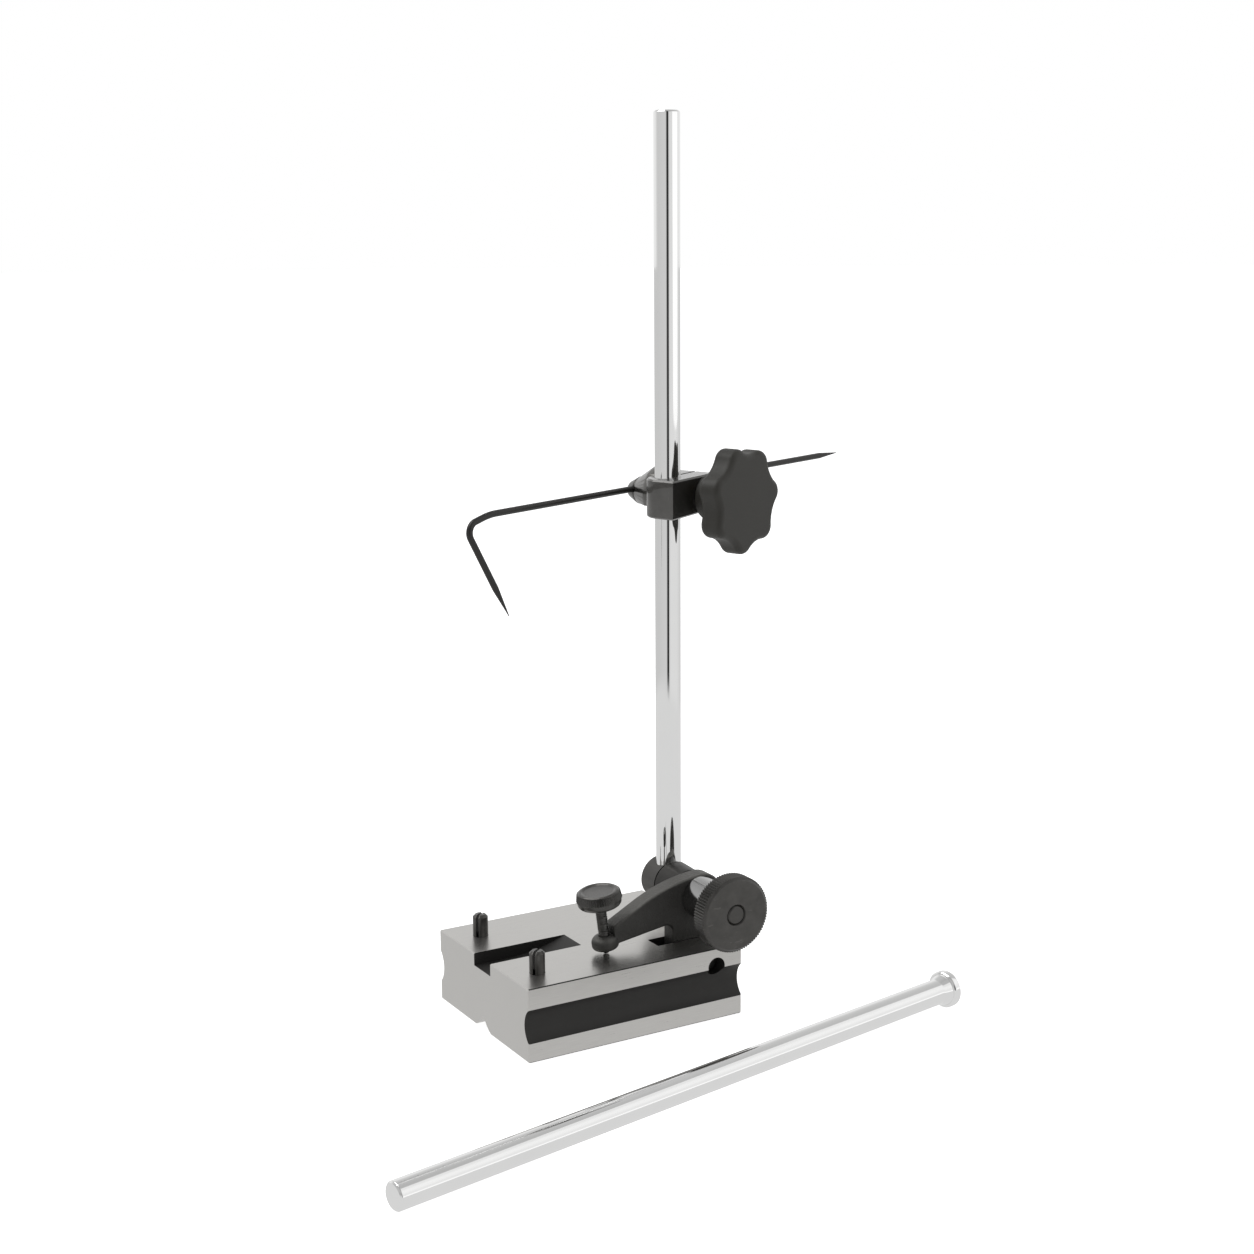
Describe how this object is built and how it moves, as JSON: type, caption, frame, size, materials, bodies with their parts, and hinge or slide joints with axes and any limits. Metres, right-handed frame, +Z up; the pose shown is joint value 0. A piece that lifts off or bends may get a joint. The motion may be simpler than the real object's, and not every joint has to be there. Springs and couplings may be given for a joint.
{
  "type": "surface gauge",
  "caption": "Surface gauge with a steel base, a tilting rocker, a swivelling spindle, a scriber clamp with a star knob, a bent scriber and a spare spindle.",
  "frame": {"origin": "middle of the base's sole, on the plane that it stands on", "axes": "+Z up, +Y towards the end that carries the spindle, +X towards the side with the round nut"},
  "size_m": [0.1542, 0.2453, 0.2754],
  "materials": {
    "ground_steel": "finely ground, satin",
    "black_casting": "blackened casting, slightly rough",
    "black_steel": "black oxide, satin",
    "bright_plating": "polished",
    "scriber_steel": "hardened and blackened, satin",
    "spring_steel": "bright wire",
    "black_plastic": "moulded, matt",
    "bush_brass": "turned"
  },
  "bodies": {
    "base": {"base_block": "ground_steel", "rocker_pivot_pin": "black_steel", "rocker_spring": "spring_steel"},
    "gauge_pin_left": {"gauge_pin_left": "black_steel"},
    "gauge_pin_right": {"gauge_pin_right": "black_steel"},
    "rocker": {"rocker_bracket": "black_casting", "spacer_sleeve": "bright_plating"},
    "thrust_pin": {"screw_thrust_pin": "black_steel"},
    "adjusting_screw": {"adjusting_screw": "black_steel"},
    "swivel": {"swivel_bolt": "black_steel", "swivel_sleeve": "black_steel"},
    "clamp_nut": {"clamp_nut": "black_steel"},
    "spindle": {"spindle": "bright_plating"},
    "scriber_clamp": {"scriber_clamp_body": "black_steel", "knob_washer": "black_steel"},
    "scriber_holder": {"scriber_bolt": "black_steel", "scriber_sleeve": "black_steel"},
    "knob": {"knob": "black_plastic", "knob_insert": "bush_brass"},
    "scriber": {"scriber": "scriber_steel"},
    "spare_spindle": {"spare_spindle": "bright_plating"}
  },
  "joints": [
    {"name": "gauge_pin_left_slide", "type": "slide", "parent": "base", "child": "gauge_pin_left", "axis": [0, 0, -1], "range_m": [0, 0.007]},
    {"name": "gauge_pin_right_slide", "type": "slide", "parent": "base", "child": "gauge_pin_right", "axis": [0, 0, -1], "range_m": [0, 0.007]},
    {"name": "rocker_tilt", "type": "hinge", "parent": "base", "child": "rocker", "pos_m": [0.0156, 0.0283, 0.017], "axis": [1, 0, 0], "range_deg": [-4, 1.2], "deforming": ["rocker_spring"]},
    {"name": "screw_feed", "type": "slide", "parent": "rocker", "child": "thrust_pin", "axis": [0, -0.134, 0.991], "range_m": [-0.0024, 0.001]},
    {"name": "screw_turn", "type": "hinge", "parent": "thrust_pin", "child": "adjusting_screw", "pos_m": [0.0156, -0.00264, 0.023], "axis": [0, -0.134, 0.991], "range_deg": [-1320, 500]},
    {"name": "swivel_tilt", "type": "hinge", "parent": "rocker", "child": "swivel", "pos_m": [0, 0.0294, 0.0363], "axis": [1, 0, 0], "range_deg": [-97, 99]},
    {"name": "nut_turn", "type": "hinge", "parent": "swivel", "child": "clamp_nut", "pos_m": [0, 0.0294, 0.0363], "axis": [1, 0, 0], "continuous": true},
    {"name": "spindle_turn", "type": "hinge", "parent": "swivel", "child": "spindle", "pos_m": [0, 0.0294, 0.0363], "axis": [0, 0, 1], "continuous": true},
    {"name": "clamp_slide", "type": "slide", "parent": "spindle", "child": "scriber_clamp", "axis": [0, 0, 1], "range_m": [-0.095, 0.105]},
    {"name": "scriber_swing", "type": "hinge", "parent": "scriber_clamp", "child": "scriber_holder", "pos_m": [-0.00308, 0.03786, 0.1597], "axis": [0.9397, 0.342, 0], "continuous": true},
    {"name": "scriber_slide", "type": "slide", "parent": "scriber_holder", "child": "scriber", "axis": [-0.342, 0.9396, 0.0105], "range_m": [-0.05, 0.05]},
    {"name": "knob_turn", "type": "hinge", "parent": "scriber_holder", "child": "knob", "pos_m": [-0.00308, 0.03786, 0.1597], "axis": [0.9397, 0.342, 0], "continuous": true},
    {"name": "spare_spindle_lift", "type": "slide", "parent": "base", "child": "spare_spindle", "axis": [0, 0, 1], "range_m": [0, 0.1]}
  ],
  "couplings": [
    {"joint": "screw_feed", "follows": "rocker_tilt", "m_per_rad": 0.0312},
    {"joint": "screw_turn", "follows": "rocker_tilt", "ratio": 326.73}
  ]
}
